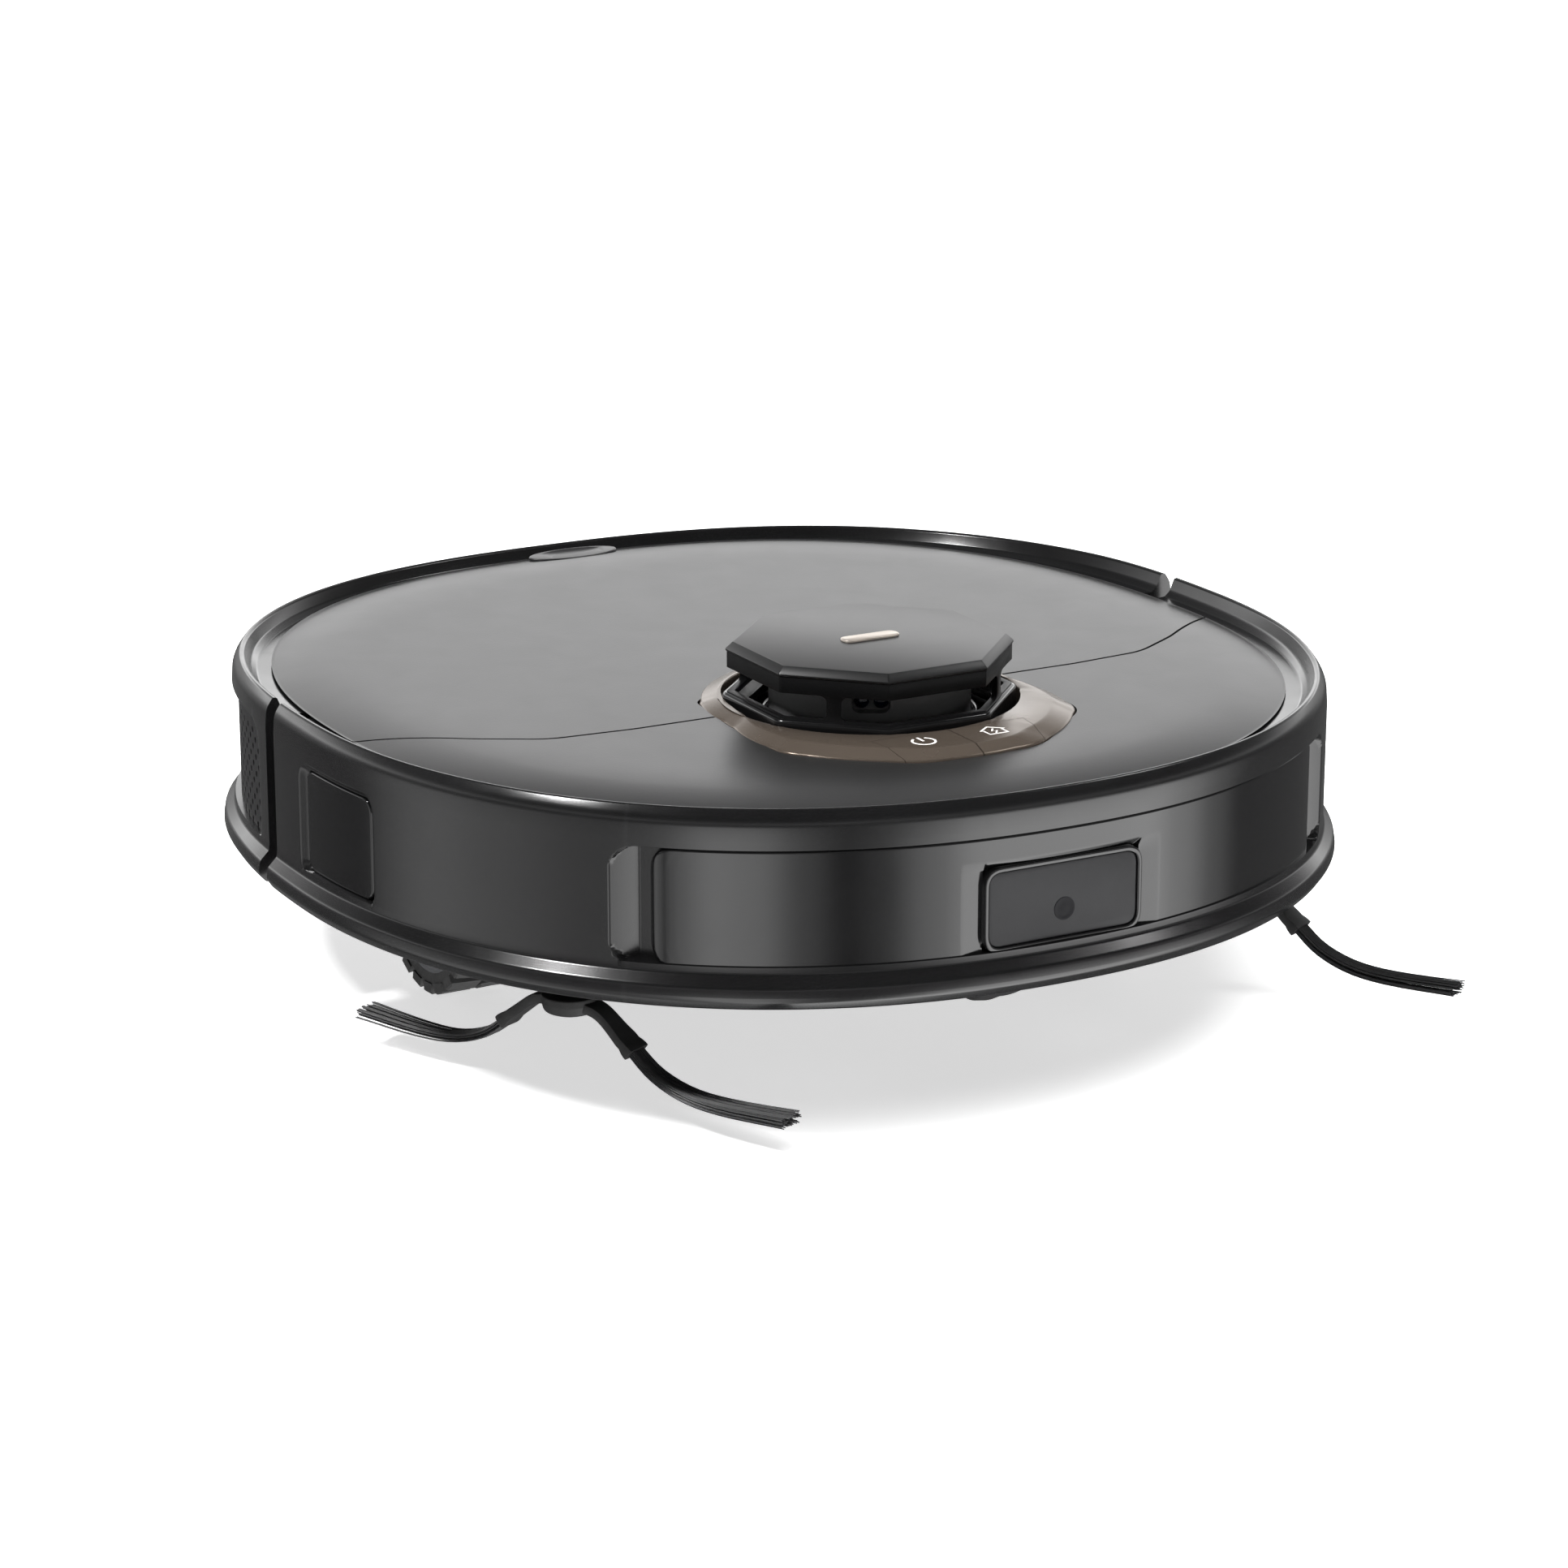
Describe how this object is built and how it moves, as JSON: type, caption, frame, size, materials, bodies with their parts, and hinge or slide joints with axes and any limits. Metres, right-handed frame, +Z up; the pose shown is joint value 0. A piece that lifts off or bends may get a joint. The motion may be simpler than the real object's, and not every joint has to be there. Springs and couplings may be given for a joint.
{
  "type": "robotic floor cleaner",
  "caption": "Low rounded floor-cleaning robot with a sprung front bumper, lift-off top cover, spinning sensor turret, sprung drive wheels, caster, main brush and side brushes.",
  "frame": {"origin": "centre of the footprint, on the surface that the hanging drive wheels touch", "axes": "+Z up; the robot drives towards -Y, and its right side is -X"},
  "size_m": [0.35, 0.3606, 0.1232],
  "materials": {
    "gloss_black": "polished, lightly scratched",
    "window_black": "clear polish over infrared-pass plastic",
    "satin_cover": "satin with a fine grain",
    "matt_black": "fine moulded grain",
    "trim_metal": "satin champagne",
    "badge_metal": "brushed",
    "grey_plastic": "moulded",
    "circuit_board": "solder resist",
    "rubber": "matt",
    "tread_rubber": "matt, dusty",
    "bristle": "drawn nylon",
    "steel": "brushed",
    "brass": "turned"
  },
  "bodies": {
    "base": {"rear_shell": "gloss_black", "cliff_sensor_front_left": "window_black", "cliff_sensor_front_right": "window_black", "cliff_sensor_side_left": "window_black", "cliff_sensor_side_right": "window_black", "front_cover": "satin_cover", "exhaust_grille_left": "matt_black", "exhaust_grille_right": "matt_black", "chassis_base": "matt_black", "top_deck": "matt_black", "brush_housing": "matt_black", "brush_guard": "matt_black", "suction_fan": "matt_black", "lidar_base": "matt_black", "trim_bezel": "trim_metal", "battery_pack": "grey_plastic", "brush_motor": "grey_plastic", "dust_bin": "grey_plastic", "dust_filter": "grey_plastic", "lidar_motor": "grey_plastic", "side_brush_motor_left": "grey_plastic", "side_brush_motor_right": "grey_plastic", "main_board": "circuit_board", "lidar_belt": "rubber", "charging_contact_left": "steel", "charging_contact_right": "steel", "suspension_spring_left": "steel", "suspension_spring_right": "steel", "bumper_spring_left": "steel", "bumper_spring_right": "steel"},
    "bumper": {"bumper": "gloss_black", "front_window": "window_black", "camera_module": "gloss_black", "wall_sensor_window": "window_black"},
    "cover": {"rear_cover": "satin_cover"},
    "turret": {"turret_cage": "matt_black", "turret_cap": "matt_black", "cap_badge": "badge_metal"},
    "rotor": {"lidar_rotor": "gloss_black"},
    "pulley": {"lidar_pulley": "brass"},
    "power_key": {"power_button": "trim_metal"},
    "home_key": {"home_button": "trim_metal"},
    "caster_swivel": {"caster_fork": "matt_black"},
    "caster_roller": {"caster_wheel": "rubber"},
    "main_brush": {"brush_core": "grey_plastic", "brush_blades": "bristle"},
    "arm_left": {"swing_arm_left": "matt_black", "drive_motor_left": "steel"},
    "wheel_left": {"drive_tyre_left": "tread_rubber", "drive_rim_left": "grey_plastic"},
    "side_brush_left": {"side_brush_left": "rubber", "side_brush_left_bristles_front": "bristle", "side_brush_left_bristles_rear": "bristle"},
    "arm_right": {"swing_arm_right": "matt_black", "drive_motor_right": "steel"},
    "wheel_right": {"drive_tyre_right": "tread_rubber", "drive_rim_right": "grey_plastic"},
    "side_brush_right": {"side_brush_right": "rubber", "side_brush_right_bristles_front": "bristle", "side_brush_right_bristles_rear": "bristle"}
  },
  "joints": [
    {"name": "bumper_push", "type": "slide", "parent": "base", "child": "bumper", "axis": [0, 1, 0], "range_m": [0, 0.004], "stiffness_N_per_m": 300, "springref_m": -0.004, "deforming": ["bumper_spring_left", "bumper_spring_right"]},
    {"name": "cover_lift", "type": "slide", "parent": "base", "child": "cover", "axis": [0, 0, 1], "range_m": [0, 0.045]},
    {"name": "turret_press", "type": "slide", "parent": "base", "child": "turret", "axis": [0, 0, -1], "range_m": [0, 0.0015], "stiffness_N_per_m": 1500, "springref_m": -0.0015},
    {"name": "lidar_spin", "type": "hinge", "parent": "base", "child": "rotor", "pos_m": [0, -0.058, 0.1055], "axis": [0, 0, 1], "continuous": true},
    {"name": "lidar_pulley_spin", "type": "hinge", "parent": "base", "child": "pulley", "pos_m": [0.044, -0.086, 0.0895], "axis": [0, 0, 1], "continuous": true},
    {"name": "power_button_press", "type": "slide", "parent": "base", "child": "power_key", "axis": [0, 0, -1], "range_m": [0, 0.0007], "stiffness_N_per_m": 400, "springref_m": -0.001},
    {"name": "home_button_press", "type": "slide", "parent": "base", "child": "home_key", "axis": [0, 0, -1], "range_m": [0, 0.0007], "stiffness_N_per_m": 400, "springref_m": -0.001},
    {"name": "suspension_left", "type": "hinge", "parent": "base", "child": "arm_left", "pos_m": [0.088, 0.071, 0.0575], "axis": [-1, 0, 0], "range_deg": [0, 26], "stiffness_Nm_per_rad": 0.8, "springref_deg": -32.09, "deforming": ["suspension_spring_left"]},
    {"name": "wheel_spin_left", "type": "hinge", "parent": "arm_left", "child": "wheel_left", "pos_m": [0.108, 0.023, 0.032], "axis": [1, 0, 0], "continuous": true},
    {"name": "suspension_right", "type": "hinge", "parent": "base", "child": "arm_right", "pos_m": [-0.088, 0.071, 0.0575], "axis": [-1, 0, 0], "range_deg": [0, 26], "stiffness_Nm_per_rad": 0.8, "springref_deg": -32.09, "deforming": ["suspension_spring_right"]},
    {"name": "wheel_spin_right", "type": "hinge", "parent": "arm_right", "child": "wheel_right", "pos_m": [-0.108, 0.023, 0.032], "axis": [1, 0, 0], "continuous": true},
    {"name": "caster_turn", "type": "hinge", "parent": "base", "child": "caster_swivel", "pos_m": [0, -0.13, 0.0435], "axis": [0, 0, 1], "continuous": true},
    {"name": "caster_roll", "type": "hinge", "parent": "caster_swivel", "child": "caster_roller", "pos_m": [0, -0.127, 0.0375], "axis": [1, 0, 0], "continuous": true},
    {"name": "main_brush_spin", "type": "hinge", "parent": "base", "child": "main_brush", "pos_m": [0, -0.035, 0.044], "axis": [1, 0, 0], "continuous": true},
    {"name": "side_brush_spin_left", "type": "hinge", "parent": "base", "child": "side_brush_left", "pos_m": [0.121, -0.088, 0.0315], "axis": [0, 0, 1], "continuous": true},
    {"name": "side_brush_spin_right", "type": "hinge", "parent": "base", "child": "side_brush_right", "pos_m": [-0.121, -0.088, 0.0315], "axis": [0, 0, 1], "continuous": true}
  ],
  "couplings": [
    {"joint": "lidar_pulley_spin", "follows": "lidar_spin", "ratio": 6.4}
  ]
}
